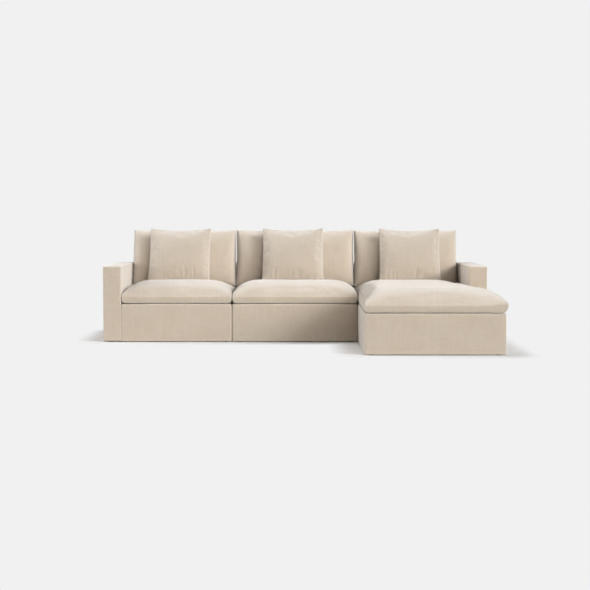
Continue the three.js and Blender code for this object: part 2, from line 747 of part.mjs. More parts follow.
function chaiseModule() {
  const sides = [chaiseStart + wallSeat, rightSide - wallSeat];
  const cover = [chaiseStart, rightArmInner - touchGap];
  const rearSpan = [chaiseStart, rightArmInner + coverWall];
  const frontRailRear = chaiseFront + wallSeat + boardWall;
  armFrame("chaise_arm_frame", rightSide, rightArmInner);
  armCover("chaise_arm_cover", rightSide, rightArmInner, baseHeight + touchGap);
  rail("chaise_front_rail", sides, [chaiseFront + wallSeat, frontRailRear]);
  const railStart = frontRailRear + touchGap;
  rail("chaise_left_rail", [sides[0], sides[0] + boardWall], [railStart, ledgerFront - touchGap]);
  rail("chaise_right_rail", [sides[1] - boardWall, sides[1]], [railStart, frontFace - touchGap]);
  backFrame("chaise_back_frame", cover);
  frontPanel("chaise_front_panel", [chaiseStart, rightSide], chaiseFront);
  sidePanel("chaise_left_panel", [chaiseStart, chaiseStart + coverWall], backFront - touchGap);
  sidePanel("chaise_right_panel", [rightSide - coverWall, rightSide], frontFace - touchGap);
  backCover("chaise_back_cover", cover);

  const strapStart = chaiseFront + wallSeat;
  const strapEnd = panelRear - plyWall - touchGap;
  const rear = sofaStraps([sides[0], rearSpan[1]], [strapStart, strapEnd]);
  const ears = evenly(earStraps, [rearSpan[1], sides[1]]);
  const lengths = [...rear.lengths, ...ears.map((x) => ({ x, span: [strapStart, frontFace - touchGap] }))];
  const rows = evenly(2 * crossStraps, [strapStart + boardWall, strapEnd - boardWall]);
  const crosses = rows.map((y) => {
    const inFront = y + strapWidth / 2 < frontFace;
    return { y, span: [sides[0], inFront ? sides[1] : rearSpan[1]] };
  });
  webbing("chaise_seat_webbing", lengths, crosses);

  const padStart = chaiseFront + panelLip + touchGap;
  const padLeft = chaiseStart + wallSeat;
  deck("chaise", [
    [padLeft, padStart], [sides[1], padStart], [sides[1], frontFace - touchGap],
    [cover[1], frontFace - touchGap], [cover[1], backFront], [padLeft, backFront],
  ]);
  dustCover("chaise", sides, chaiseFront + wallSeat);
  const x = [chaiseStart + footInset, rightSide - footInset];
  const y = [chaiseFront + footInset, frontFace - footInset, sofaDepth - footInset];
  feet("chaise", {
    front_left: [x[0], y[0]], front_right: [x[1], y[0]], middle_left: [x[0], y[1]],
    middle_right: [x[1], y[1]], rear_left: [x[0], y[2]], rear_right: [x[1], y[2]],
  });
  cleat("chaise_cleat", chaiseStart, -1, -1);

  const seatX = [chaiseStart - moduleGap / 2, rightArmInner];
  const seatLeft = seatX[0] + seatSideGap;
  const earRear = frontFace - seatSideGap;
  const earRight = rightSide + chaiseOverhang;
  const corners = [
    [seatLeft, chaiseFront], [earRight, chaiseFront], [earRight, earRear],
    [seatX[1] - seatSideGap, earRear], [seatX[1] - seatSideGap, seatRear], [seatLeft, seatRear],
  ].map(([px, py]) => new THREE.Vector2(px, py));
  const middle = new THREE.Vector2((seatX[0] + seatX[1]) / 2, chaiseFront + chaiseReach / 2);
  soften("chaise", seatX, { corners, middle, freeFrom: seatX[1] }, chaisePillowShift);
}

leftModule();
centreModule();
chaiseModule();

// The origin is on the floor under the middle of the whole
sofa.position.set(-chaiseOverhang / 2, (chaiseReach - sofaDepth) / 2, 0);

const group = new THREE.Group();
group.add(sofa);

export default group;
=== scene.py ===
import json
import math
import bpy
import numpy as np
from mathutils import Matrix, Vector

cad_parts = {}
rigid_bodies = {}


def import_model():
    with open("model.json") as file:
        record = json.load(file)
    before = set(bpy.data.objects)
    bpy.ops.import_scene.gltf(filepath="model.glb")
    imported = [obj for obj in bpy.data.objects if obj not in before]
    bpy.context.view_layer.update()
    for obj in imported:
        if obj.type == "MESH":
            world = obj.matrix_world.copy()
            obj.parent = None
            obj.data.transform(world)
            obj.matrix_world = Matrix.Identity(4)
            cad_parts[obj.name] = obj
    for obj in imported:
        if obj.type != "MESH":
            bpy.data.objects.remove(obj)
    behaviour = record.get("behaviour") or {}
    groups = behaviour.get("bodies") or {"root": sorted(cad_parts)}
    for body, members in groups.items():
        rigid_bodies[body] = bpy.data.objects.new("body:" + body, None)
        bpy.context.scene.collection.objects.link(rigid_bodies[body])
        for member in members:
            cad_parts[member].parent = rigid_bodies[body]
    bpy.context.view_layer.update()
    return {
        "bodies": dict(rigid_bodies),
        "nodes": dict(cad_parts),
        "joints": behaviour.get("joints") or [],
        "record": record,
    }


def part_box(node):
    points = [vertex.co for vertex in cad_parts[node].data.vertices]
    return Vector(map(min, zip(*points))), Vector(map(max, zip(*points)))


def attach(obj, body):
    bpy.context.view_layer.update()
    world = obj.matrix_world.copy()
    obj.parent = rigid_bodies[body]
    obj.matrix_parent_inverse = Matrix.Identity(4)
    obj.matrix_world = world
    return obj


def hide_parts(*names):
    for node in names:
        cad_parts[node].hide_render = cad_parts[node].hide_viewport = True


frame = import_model()
nodes = frame["nodes"]
modules = {"left": "left_module", "centre": "root", "chaise": "chaise_module"}
print("frame loaded:", len(nodes), "nodes")


def corners(node):
    low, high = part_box(node)
    return np.round(low, 6), np.round(high, 6)


# Camera, floor and light

cameraSet = {"lens": 82.8, "sensor": 36.0, "place": (-0.008, -10.733, 1.0518), "tilt": 3.6}


def placeCamera(look):
    data = bpy.data.cameras.new("camera")
    data.lens, data.sensor_width = look["lens"], look["sensor"]
    camera = bpy.data.objects.new("camera", data)
    camera.location = look["place"]
    camera.rotation_euler = (math.radians(90 - look["tilt"]), 0, 0)
    bpy.context.scene.collection.objects.link(camera)
    bpy.context.scene.camera = camera


placeCamera(cameraSet)
bpy.context.scene.view_settings.view_transform = "Standard"


class Flow:  # one output of a shader node: sums and products of these add Math nodes
    def __init__(self, tree, socket):
        self.tree, self.socket = tree, socket

    def join(self, operation, first, second):
        return self.tree.node("ShaderNodeMath", {"operation": operation}, {0: first, 1: second})

    def __add__(self, other):
        return self.join("ADD", self, other)

    def __radd__(self, other):
        return self.join("ADD", other, self)

    def __sub__(self, other):
        return self.join("SUBTRACT", self, other)

    def __rsub__(self, other):
        return self.join("SUBTRACT", other, self)

    def __mul__(self, other):
        return self.join("MULTIPLY", self, other)

    def __rmul__(self, other):
        return self.join("MULTIPLY", other, self)

    def __truediv__(self, other):
        return self.join("DIVIDE", self, other)

    def __rtruediv__(self, other):
        return self.join("DIVIDE", other, self)

    def __pow__(self, other):
        return self.join("POWER", self, other)

    def __rpow__(self, other):
        return self.join("POWER", other, self)

    def sine(self):
        return self.join("SINE", self, 0.0)

    def size(self):
        return self.join("ABSOLUTE", self, 0.0)

    def most(self, second):
        return self.join("MAXIMUM", self, second)

    def least(self, second):
        return self.join("MINIMUM", self, second)

    def stretched(self, factors):  # a vector with each part times its own factor
        return self.tree.node("ShaderNodeVectorMath", {"operation": "MULTIPLY"}, {0: self, 1: factors})

    def other(self, output):  # another output of the same node
        return Flow(self.tree, self.socket.node.outputs[output])


class Tree:  # a node tree that is filled by one method
    def __init__(self, tree):
        self.tree = tree
        tree.nodes.clear()

    def node(self, kind, settings, values, output=0):
        made = self.tree.nodes.new(kind)
        for name, value in settings.items():
            if name == "stops":
                self.setStops(made.color_ramp, value)
            else:
                setattr(made, name, value)
        for name, value in values.items():
            if isinstance(value, Flow):
                self.tree.links.new(value.socket, made.inputs[name])
            else:
                made.inputs[name].default_value = value
        return Flow(self, made.outputs[output] if made.outputs else None)

    def setStops(self, ramp, stops):
        while len(ramp.elements) < len(stops):
            ramp.elements.new(0.5)
        for element, (place, colour) in zip(ramp.elements, stops):
            element.position, element.color = place, colour

    def noise(self, vector, scale, detail=2.0, roughness=0.5, distortion=0.0):
        values = {"Vector": vector, "Scale": scale, "Detail": detail}
        values.update({"Roughness": roughness, "Distortion": distortion})
        return self.node("ShaderNodeTexNoise", {}, values)

    def blend(self, factor, first, second):  # a colour between two others
        return self.node("ShaderNodeMix", {"data_type": "RGBA"}, {0: factor, 6: first, 7: second}, 2)


lightSet = {
    "suns": {  # strength, degrees right of the front, height in degrees, spread in degrees
        "key": (2.95, 60, 24, 24),
        "behind": (0.9, -116, 30, 45),
        "side": (3.0, -94, 12, 40),
        "front": (1.92, 18, 13, 45),
    },
    "sky": 0.02, "backdrop": 0.8796, "floor": 0.856, "bounce": 0.38, "floorReach": 400,
    "shadowReach": 0.26, "shadowFade": 1.5,
}


def addSun(name, strength, side, height, spread):
    data = bpy.data.lights.new(name, "SUN")
    data.energy, data.angle = strength, math.radians(spread)
    lamp = bpy.data.objects.new(name, data)
    lamp.rotation_euler = (math.radians(90 - height), 0, math.radians(side))
    bpy.context.scene.collection.objects.link(lamp)


def seenDirectly(tree):  # 1 for what the camera sees, also by reflection or through glass, and else 0
    ray = tree.node("ShaderNodeLightPath", {}, {})
    seen = ray.other("Is Camera Ray") + ray.other("Is Glossy Ray") + ray.other("Is Transmission Ray")
    return seen.least(1.0)


def lightWorld(look):
    # what is lit sees a plain sky, and what looks at the world sees the pale backdrop
    world = bpy.data.worlds.new("studio")
    world.use_nodes = True
    bpy.context.scene.world = world
    tree = Tree(world.node_tree)
    sky, pale = look["sky"], look["backdrop"]
    colour = tree.blend(seenDirectly(tree), (sky, sky, sky, 1), (pale, pale, pale, 1))
    background = tree.node("ShaderNodeBackground", {}, {"Color": colour, "Strength": 1.0})
    tree.node("ShaderNodeOutputWorld", {}, {"Surface": background})


def footprintDistance(x, y, names):
    # How far a point of the floor lies from a rectangle around some nodes: on each axis the distance from
    # its middle less its half width, or 0 inside it, and then the root of the sum of their squares.
    boxes = [corners(name) for name in names]
    low, high = np.min([box[0] for box in boxes], axis=0), np.max([box[1] for box in boxes], axis=0)
    middle, half = (low + high) / 2, (high - low) / 2
    besideX = ((x - float(middle[0])).size() - float(half[0])).most(0.0)
    besideY = ((y - float(middle[1])).size() - float(half[1])).most(0.0)
    return (besideX * besideX + besideY * besideY) ** 0.5


def layFloor(look):
    # The floor sends back less light than it shows, and away from the sofa it fades into the backdrop,
    # so that the shadow stays near the sofa.
    reach = look["floorReach"]
    mesh = bpy.data.meshes.new("floor")
    ways = ((-1, -1), (1, -1), (1, 1), (-1, 1))
    mesh.from_pydata([(x * reach, y * reach, 0) for x, y in ways], [], [(0, 1, 2, 3)])
    floor = bpy.data.objects.new("floor", mesh)
    bpy.context.scene.collection.objects.link(floor)
    material = bpy.data.materials.new("floor_paint")
    material.use_nodes = True
    tree = Tree(material.node_tree)
    seen = seenDirectly(tree)
    place = tree.node("ShaderNodeTexCoord", {}, {}, "Object")
    x = tree.node("ShaderNodeSeparateXYZ", {}, {0: place})
    sofa = footprintDistance(x, x.other(1), ("left_arm_cover", "chaise_arm_cover", "centre_back_cover"))
    chaise = footprintDistance(x, x.other(1), ("chaise_front_panel", "chaise_back_cover"))
    away = (sofa.least(chaise) / look["shadowReach"]).least(1.0) ** look["shadowFade"]
    near = (1 - away) * (1 - away) * (1 + away * 2)
    shade, bounce, pale = look["floor"], look["bounce"], look["backdrop"]
    colour = tree.blend(seen, (bounce, bounce, bounce, 1), (shade, shade, shade, 1))
    paint = tree.node("ShaderNodeBsdfDiffuse", {}, {"Color": colour})
    glow = tree.node("ShaderNodeEmission", {}, {"Color": (pale, pale, pale, 1), "Strength": 1.0})
    both = tree.node("ShaderNodeMixShader", {}, {0: seen * (1 - near), 1: paint, 2: glow})
    tree.node("ShaderNodeOutputMaterial", {}, {"Surface": both})
    mesh.materials.append(material)


for name, (strength, side, height, spread) in lightSet["suns"].items():
    addSun(name, strength, side, height, spread)
lightWorld(lightSet)
layFloor(lightSet)
print("camera, floor and light set")


# Finishes

def newFinish(name):
    material = bpy.data.materials.new(name)
    material.use_nodes = True
    return material, Tree(material.node_tree)


def dress(tree, values, height=None, depth=0.001, strength=1.0):
    if height is not None:
        bump = {"Height": height, "Distance": depth, "Strength": strength}
        values["Normal"] = tree.node("ShaderNodeBump", {}, bump)
    shader = tree.node("ShaderNodeBsdfPrincipled", {}, values)
    tree.node("ShaderNodeOutputMaterial", {}, {"Surface": shader})


chenilleSet = {
    "dark": (0.484, 0.379, 0.273, 1), "light": (0.638, 0.542, 0.431, 1),
    "sheen": 1.0, "sheenRoughness": 0.6, "sheenTint": (1.0, 0.985, 0.96, 1), "specular": 0.25,
    "roughness": 0.9, "roughnessFall": 0.08, "relief": 0.0011,
    "pitch": 0.0032, "warpPitch": 0.8, "waverScale": 60.0, "waver": 2.5,
    "weft": 0.32, "warp": 0.2, "crossing": 0.25, "weaveTone": 0.16,
    "tones": {  # how much each noise changes the tone
        "slubAcross": 0.7, "slubAlong": 0.6, "fluff": 0.5,
        "streakAcross": 0.34, "streakAlong": 0.42, "cloud": 0.45,
    },
    "heights": {"slubAcross": 1.6, "slubAlong": 1.3, "fluff": 0.9},
}
# the throw pillows' cloth is the same chenille painted about a tenth darker: painted shade that evens out the
# extra light their tilted faces catch
pillowShadeTint = {"dark": (0.440, 0.349, 0.256, 1), "light": (0.583, 0.498, 0.402, 1)}
# the seam cords' cloth is the chenille painted lighter: a painted highlight for the light that the seam edges
# catch
seamHighlightTint = {"dark": (0.600, 0.520, 0.420, 1), "light": (0.760, 0.690, 0.600, 1)}


def chenille(name, look):
    # cloth coordinates in metres: u runs across the cloth and v along its nap
    material, tree = newFinish(name)
    cloth = tree.node("ShaderNodeUVMap", {"uv_map": "cloth"}, {})
    u = tree.node("ShaderNodeSeparateXYZ", {}, {0: cloth})
    v = u.other(1)
    turn = 2 * math.pi / look["pitch"]
    waver = tree.noise(cloth, look["waverScale"], 2.0) * look["waver"]
    weft = (v * turn + waver).sine()
    warp = (u * (turn * look["warpPitch"]) + waver).sine()
    weave = weft * look["weft"] + warp * look["warp"] + weft * warp * look["crossing"]
    noises = {  # slubs and streaks are stretched along their own thread
        "slubAcross": tree.noise(cloth.stretched((22, 330, 1)), 1.0, 2.5, 0.6),
        "slubAlong": tree.noise(cloth.stretched((330, 22, 1)), 1.0, 2.5, 0.6),
        "fluff": tree.noise(cloth, 520.0, 3.0, 0.7),
        "streakAcross": tree.noise(cloth.stretched((7, 70, 1)), 1.0, 2.0),
        "streakAlong": tree.noise(cloth.stretched((60, 6, 1)), 1.0, 2.0),
        "cloud": tree.noise(cloth, 5.5, 2.0, 0.5, 0.4),
    }
    tone = 0.5 + weave * look["weaveTone"]
    for kind, share in look["tones"].items():
        tone = tone + (noises[kind] - 0.5) * share
    height = weave
    for kind, share in look["heights"].items():
        height = height + noises[kind] * share
    dress(tree, {
        "Base Color": tree.blend(tone, look["dark"], look["light"]),
        "Roughness": look["roughness"] - tone * look["roughnessFall"],
        "Sheen Weight": look["sheen"], "Sheen Roughness": look["sheenRoughness"],
        "Sheen Tint": look["sheenTint"], "Specular IOR Level": look["specular"],
    }, height, look["relief"])
    return material


clothSets = {
    "deck_canvas": {
        "dark": (0.38, 0.33, 0.26, 1), "light": (0.52, 0.46, 0.38, 1), "pitch": 0.0016, "sheen": 0.15,
    },
    "jute_webbing": {
        "dark": (0.30, 0.21, 0.11, 1), "light": (0.47, 0.35, 0.21, 1), "pitch": 0.0030, "sheen": 0.1,
    },
    "dust_cloth": {
        "dark": (0.012, 0.012, 0.014, 1), "light": (0.030, 0.030, 0.034, 1), "pitch": 0.0050, "sheen": 0.1,
    },
}


def plainCloth(name, look):
    # a plain weave on object coordinates: threads along X and Y that pass over and under each other
    material, tree = newFinish(name)
    place = tree.node("ShaderNodeTexCoord", {}, {}, "Object")
    x = tree.node("ShaderNodeSeparateXYZ", {}, {0: place})
    turn = 2 * math.pi / look["pitch"]
    waver = tree.noise(place, 45.0) * 1.5
    first, second = (x * turn + waver).sine(), (x.other(1) * turn + waver).sine()
    weave = first * second
    slub = tree.noise(place.stretched((14, 260, 260)), 1.0, 2.0)
    soil = tree.noise(place, 7.0, 3.0)
    tone = 0.5 + weave * 0.3 + (slub - 0.5) * 0.8 + (soil - 0.5) * 0.4
    dress(tree, {
        "Base Color": tree.blend(tone, look["dark"], look["light"]),
        "Roughness": 0.93 - tone * 0.08, "Sheen Weight": look["sheen"], "Specular IOR Level": 0.2,
    }, weave + slub, 0.0005)
    return material


timberSet = {"dark": (0.36, 0.215, 0.105, 1), "light": (0.62, 0.44, 0.26, 1), "rings": 55.0, "relief": 0.0004}


def timber(look):
    # grain that runs along X: rings stretched lengthwise, fine pores and a slow change of tone
    material, tree = newFinish("poplar")
    place = tree.node("ShaderNodeTexCoord", {}, {}, "Object")
    rings = tree.noise(place.stretched((0.9, look["rings"], look["rings"])), 1.0, 3.0, 0.6, 0.6)
    pores = tree.noise(place.stretched((30, 700, 700)), 1.0, 2.0)
    slow = tree.noise(place, 3.0)
    tone = 0.1 + rings * 0.9 + (pores - 0.5) * 0.35 + (slow - 0.5) * 0.3
    dress(tree, {
        "Base Color": tree.blend(tone, look["dark"], look["light"]),
        "Roughness": 0.7 - rings * 0.15,
    }, rings * 0.6 + pores, look["relief"])
    return material


steelSet = {"dark": (0.42, 0.43, 0.44, 1), "light": (0.60, 0.61, 0.62, 1), "relief": 0.0001}


def brushedSteel(look):
    # fine strokes along one way, and slow stains
    material, tree = newFinish("zinc_steel")
    place = tree.node("ShaderNodeTexCoord", {}, {}, "Object")
    brush = tree.noise(place.stretched((60, 12, 1500)), 1.0, 2.0)
    stain = tree.noise(place, 18.0, 3.0)
    dress(tree, {
        "Base Color": tree.blend(stain, look["dark"], look["light"]),
        "Metallic": 1.0, "Roughness": 0.28 + brush * 0.25,
    }, brush, look["relief"])
    return material


plasticSet = {"dark": (0.010, 0.010, 0.011, 1), "light": (0.026, 0.026, 0.028, 1), "relief": 0.0001}


def mouldedPlastic(look):
    # a fine grain from the mould, and scuffs
    material, tree = newFinish("foot_plastic")
    place = tree.node("ShaderNodeTexCoord", {}, {}, "Object")
    grain = tree.noise(place, 900.0, 2.0)
    scuff = tree.noise(place, 60.0, 4.0, 0.7)
    dress(tree, {
        "Base Color": tree.blend(scuff, look["dark"], look["light"]),
        "Roughness": 0.45 + scuff * 0.25,
    }, grain, look["relief"])
    return material


finishes = {
    "upholstery": chenille("chenille", chenilleSet),
    # the pillow finish carries painted shade
    "pillow": chenille("pillow_chenille_painted_shade", dict(chenilleSet, **pillowShadeTint)),
    # the seam finish carries a painted highlight
    "seam": chenille("seam_chenille_painted_highlight", dict(chenilleSet, **seamHighlightTint)),
    "timber": timber(timberSet),
    "steel": brushedSteel(steelSet),
    "plastic": mouldedPlastic(plasticSet),
}
finishes.update({name: plainCloth(name, look) for name, look in clothSets.items()})
print("finishes made:", len(finishes))

keptNodes = {
    "timber": ("_rail", "_frame"), "jute_webbing": ("_webbing",), "deck_canvas": ("_deck_pad",),
    "dust_cloth": ("_dust_cover",), "steel": ("_cleat",), "plastic": ("_foot_",),
}
for finish, endings in keptNodes.items():
    for name, node in nodes.items():
        if any(ending in name for ending in endings):
            for slot in node.material_slots:
                slot.material = finishes[finish]


# Meshes from grids

weldStep = 2e-6


def quadsOf(kept, start):
    rows, columns = kept.shape
    index = start + np.arange((rows + 1) * (columns + 1)).reshape(rows + 1, columns + 1)
    quads = np.stack([index[:-1, :-1], index[1:, :-1], index[1:, 1:], index[:-1, 1:]], -1)
    return quads[kept]


def sewMesh(name, patches):
    # a patch is a grid of points, its grid of cloth coordinates, the cells that are kept, and whether
    # its faces are turned over. Points of different patches in one place become one vertex, and the
    # order tells which point each vertex has.
    points, cloth, quads = [], [], []
    start = 0
    for grid, coordinates, kept, turned in patches:
        cells = quadsOf(kept, start)
        quads.append(cells[:, ::-1] if turned else cells)
        points.append(grid.reshape(-1, 3))
        cloth.append(coordinates.reshape(-1, 2))
        start += points[-1].shape[0]
    points, cloth, quads = np.concatenate(points), np.concatenate(cloth), np.concatenate(quads)
    keys = np.round(points / weldStep).astype(np.int64)
    first, inverse = np.unique(keys, axis=0, return_index=True, return_inverse=True)[1:]
    welded = inverse.reshape(-1)[quads]
    used, compact = np.unique(welded, return_inverse=True)
    mesh = bpy.data.meshes.new(name)
    order = first[used]
    mesh.from_pydata(points[order], [], compact.reshape(-1, 4))
    mesh.uv_layers.new(name="cloth").data.foreach_set("uv", cloth[quads.reshape(-1)].reshape(-1))
    mesh.shade_smooth()
    mesh.update()
    return mesh, order


def addPiece(mesh, body, finish, slot, *replaced):
    piece = bpy.data.objects.new(mesh.name, mesh)
    bpy.context.scene.collection.objects.link(piece)
    mesh.materials.append(finishes[finish])
    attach(piece, body)
    if replaced:
        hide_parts(*replaced)
    return piece


def ripples(points, seed, length, count=9):
    # gentle unevenness: the sum of a few sine waves of about one length, each in its own direction
    random = np.random.default_rng(seed)
    waves = random.normal(size=(count, 3))
    waves *= 2 * np.pi / length / np.linalg.norm(waves, axis=1, keepdims=True)
    waves *= random.uniform(0.6, 1.5, (count, 1))
    return np.sin(points @ waves.T + random.uniform(0, 2 * np.pi, count)).sum(-1) / math.sqrt(count)


# Upholstery covers

coverSet = {
    "radius": (0.008, 0.008, 0.008), "roundPower": 2.0, "sharpPower": 7.0,
    "step": 0.016, "edgeSteps": 6, "wall": 0.006,
    "puff": 0.0030, "puffPower": 4, "unevenness": 0.0007, "unevenLength": 0.16,
    "seamDepth": 0.0022, "seamWidth": 0.0026, "seamShare": 0.3,
    "hemRise": 0.026, "hemDepth": 0.0012, "hemWidth": 0.0022,
}


def linesAcross(low, high, radius, step, edgeSteps, extra):
    # fine over the rounded strips, where equal angles give the tangent's spacing, and even between them
    strip = radius * np.tan(np.linspace(0, np.pi / 4, edgeSteps + 1))
    middle = np.linspace(low + radius, high - radius, max(3, round((high - low) / step)))
    lines = np.concatenate([low + radius - strip, middle, high - radius + strip, list(extra)])
    return np.unique(np.round(lines, 6))


def coverPatches(low, high, look, extra, keep, seed, seams):
    # A rounded block: a point of the plain block is split into the nearest point of the inner block and
    # a way out of it, whose length becomes one radius. The faces swell between their edges, and a seam
    # sinks in where the way out is halfway between two faces.
    low, high, radius = np.array(low), np.array(high), np.array(look["radius"])
    lines = [
        linesAcross(low[k], high[k], radius[k], look["step"], look["edgeSteps"], extra.get(k, ()))
        for k in range(3)
    ]
    patches = []
    for axis in range(3):
        across, up = (axis + 1) % 3, (axis + 2) % 3
        a, b = np.meshgrid(lines[across], lines[up], indexing="ij")
        for end in (low, high):
            flat = np.zeros(a.shape + (3,))
            flat[..., axis], flat[..., across], flat[..., up] = end[axis], a, b
            inner = np.clip(flat, low + radius, high - radius)
            away = (flat - inner) / radius
            # a rounding is a circle, and nearly square where the cover is sharp
            power = np.full(a.shape, look["roundPower"])
            for side, ceiling in look.get("sharp", ()):
                power[(away[..., 0] * side > 0) & (flat[..., 2] < ceiling)] = look["sharpPower"]
            away /= (np.abs(away) ** power[..., None]).sum(-1, keepdims=True) ** (1 / power[..., None])
            normal = away / radius
            normal /= np.linalg.norm(normal, axis=-1, keepdims=True)
            share = (flat - (low + high) / 2) / ((high - low) / 2)
            fall = share ** look["puffPower"]
            inside = (1 - fall[..., across]) * (1 - fall[..., up])
            push = look["puff"] * inside
            push = push + look["unevenness"] * ripples(flat, seed, look["unevenLength"]) * inside
            for first, others in seams:
                rest = np.linalg.norm(away[..., others], axis=-1)
                between = (np.abs(away[..., first]) - rest) * radius[first]
                near = (np.abs(away[..., first]) > look["seamShare"]) & (rest > look["seamShare"])
                push = push - look["seamDepth"] * np.exp(-((between / look["seamWidth"]) ** 2)) * near
            if axis != 2 and look["hemRise"]:
                fromHem = (flat[..., 2] - look["hem"] - look["hemRise"]) / look["hemWidth"]
                push = push - look["hemDepth"] * np.exp(-(fromHem ** 2))
            points = inner + away * radius + normal * push[..., None]
            middle = (flat[:-1, :-1] + flat[1:, 1:]) / 2
            kept = keep(middle, axis, 1 if end is high else -1)
            flatAxes = [k for k in range(3) if k != axis]
            cloth = flat[..., flatAxes]
            patches.append((points, cloth, kept, end is low))
    return patches


def addCover(name, body, low, high, look, extra, keep, seed, seams=()):
    mesh = sewMesh(name + "_upholstery", coverPatches(low, high, look, extra, keep, seed, seams))[0]
    piece = addPiece(mesh, body, "upholstery", "upholstery", name)
    wall = piece.modifiers.new("wall", "SOLIDIFY")
    wall.thickness, wall.offset = look["wall"], -1
    return piece


def hemLines(look):
    middle = look["hem"] + look["hemRise"]
    width = look["hemWidth"]
    return [look["hem"], middle - 2 * width, middle - width, middle, middle + width, middle + 2 * width]


deckLevel = corners("left_deck_pad")[1][2]
hemLevel = corners("left_front_panel")[0][2]
coverSet["hem"] = hemLevel
overAll = 1.0  # a level above the whole sofa
armSet = {"puff": 0.0012, "sharpAbove": 0.004, "overhang": 0.024}


def addArm(name, body, inward, closedFront, seed):
    # a block over the arm, whose faces stop at the hem, and next to the seat at the deck
    low, high = corners(name)
    sharp = [(inward, deckLevel + armSet["sharpAbove"]), (-inward, overAll)]
    look = dict(coverSet, sharp=sharp, puff=armSet["puff"])
    edge = look["radius"][1]
    blockLow = low - np.array([0, 0, armSet["overhang"]])

    def keep(middle, axis, side):
        kept = middle[..., 2] > hemLevel
        belowDeck = middle[..., 2] < deckLevel
        if axis == 0 and side == inward:
            between = (middle[..., 1] > low[1] + edge) & (middle[..., 1] < high[1] - edge)
            kept &= ~(belowDeck & between)
        if axis == 1 and side < 0 and not closedFront:
            kept &= ~belowDeck
        return kept

    extra = {2: hemLines(look) + [deckLevel]}
    return addCover(name, body, blockLow, high, look, extra, keep, seed, [(1, [0, 2])])


# the rounding of each front panel's sides, and the sides that are nearly square
panelSides = {"left": (0.018, [(-1, overAll)]), "centre": (0.006, []), "chaise": (0.014, [(1, overAll)])}
frontSet = {"frontRadius": 0.008, "topRadius": 0.009, "turnIn": 0.018, "overhang": 0.04}


def addFrontPanel(name, body, side, sharp, seed):
    # the front of a block, with its top edge and narrow strips of its sides
    low, high = corners(name)
    look = dict(coverSet, radius=(side, frontSet["frontRadius"], frontSet["topRadius"]), sharp=sharp)
    lip = high[1]
    turned = low[1] + frontSet["turnIn"]
    blockLow = low - np.array([0, 0, frontSet["overhang"]])
    blockHigh = high + np.array([0, frontSet["overhang"], 0])

    def keep(middle, axis, face):
        above = middle[..., 2] > hemLevel
        if axis == 0:
            return above & (middle[..., 1] < turned)
        if axis == 1:
            return above & (face < 0)
        return above & (face > 0) & (middle[..., 1] < lip)

    extra = {1: [turned, lip], 2: hemLines(look)}
    return addCover(name, body, blockLow, blockHigh, look, extra, keep, seed)


sideSet = {"radius": (0.006, 0.006, 0.006), "wall": 0.005}
sideOverhang = 0.03


def addSidePanel(name, body, outside, seed):
    # the outer face of a block and its top
    low, high = corners(name)
    look = dict(coverSet, **sideSet)
    blockLow = low - np.array([0, 0, sideOverhang])

    def keep(middle, axis, face):
        above = middle[..., 2] > hemLevel
        if axis == 0:
            return above & (face == outside)
        return above & (axis == 2) & (face > 0)

    return addCover(name, body, blockLow, high, look, {2: hemLines(look)}, keep, seed)


backCoverSet = {"turnIn": 0.016, "overhang": 0.04}


def addBackCover(name, body, seed):
    # the rear of a block, its top, its front above the deck, and narrow strips of its sides
    low, high = corners(name)
    turnIn = backCoverSet["turnIn"]
    blockLow = low - np.array([0, 0, backCoverSet["overhang"]])

    def keep(middle, axis, face):
        above = middle[..., 2] > hemLevel
        onSeat = middle[..., 2] > deckLevel
        if axis == 0:
            edges = (middle[..., 1] > high[1] - turnIn) | (middle[..., 2] > high[2] - turnIn)
            return (above & edges) | (onSeat & (middle[..., 1] < low[1] + turnIn))
        if axis == 1:
            return above if face > 0 else onSeat
        return above & (face > 0)

    extra = {1: [low[1] + turnIn, high[1] - turnIn], 2: hemLines(coverSet) + [deckLevel, high[2] - turnIn]}
    return addCover(name, body, blockLow, high, coverSet, extra, keep, seed)


seeds = {"arm": 11, "front": 20, "back": 30, "side": 41, "seat": 50, "backCushion": 60, "pillow": 70}
addArm("left_arm_cover", "left_module", 1, True, seeds["arm"])
addArm("chaise_arm_cover", "chaise_module", -1, False, seeds["arm"] + 1)
for count, (module, body) in enumerate(modules.items()):
    panelSide, panelSharp = panelSides[module]
    addFrontPanel(module + "_front_panel", body, panelSide, panelSharp, seeds["front"] + count)
    addBackCover(module + "_back_cover", body, seeds["back"] + count)
addSidePanel("chaise_left_panel", "chaise_module", -1, seeds["side"])
addSidePanel("chaise_right_panel", "chaise_module", 1, seeds["side"] + 1)
print("covers sewn")


# Seat cushions

seatSet = {
    "seamHeight": 0.088, "middleHeight": 0.052, "freeSeam": 0.108, "freeMiddle": 0.064,
    "crown": 0.084, "crownBlend": 4, "crestBack": 0.33, "rearShare": 0.72,
    "corner": 0.014, "grow": 0.0024, "strip": 0.06, "edgeSteps": 9, "step": 0.015, "fill": 0.7,
    "crownRise": {"held": (0.42, 5.5), "front": (0.42, 3.6), "rear": (0.42, 5.5), "free": (0.60, 4.4)},
    "upper": {"held": 0.005, "front": 0.100, "rear": 0.030, "free": 0.080},
    "lower": {"held": 0.026, "front": 0.005, "rear": 0.020, "free": 0.055},
    "slit": 0.007, "slitRun": 0.085,
    "unevenness": 0.0014, "unevenLength": 0.24,
    "seamFrom": 0.009, "seamDepth": 0.0020, "seamWidth": 0.0045,
    "pucker": 0.0016, "puckerPitch": 0.030, "puckerReach": 0.022, "puckerWander": 2.5, "puckerLength": 0.11,
    "sim": {"pressure": 0.12, "shrink": -0.004, "bending": 3.0, "cap": 0.005},
}


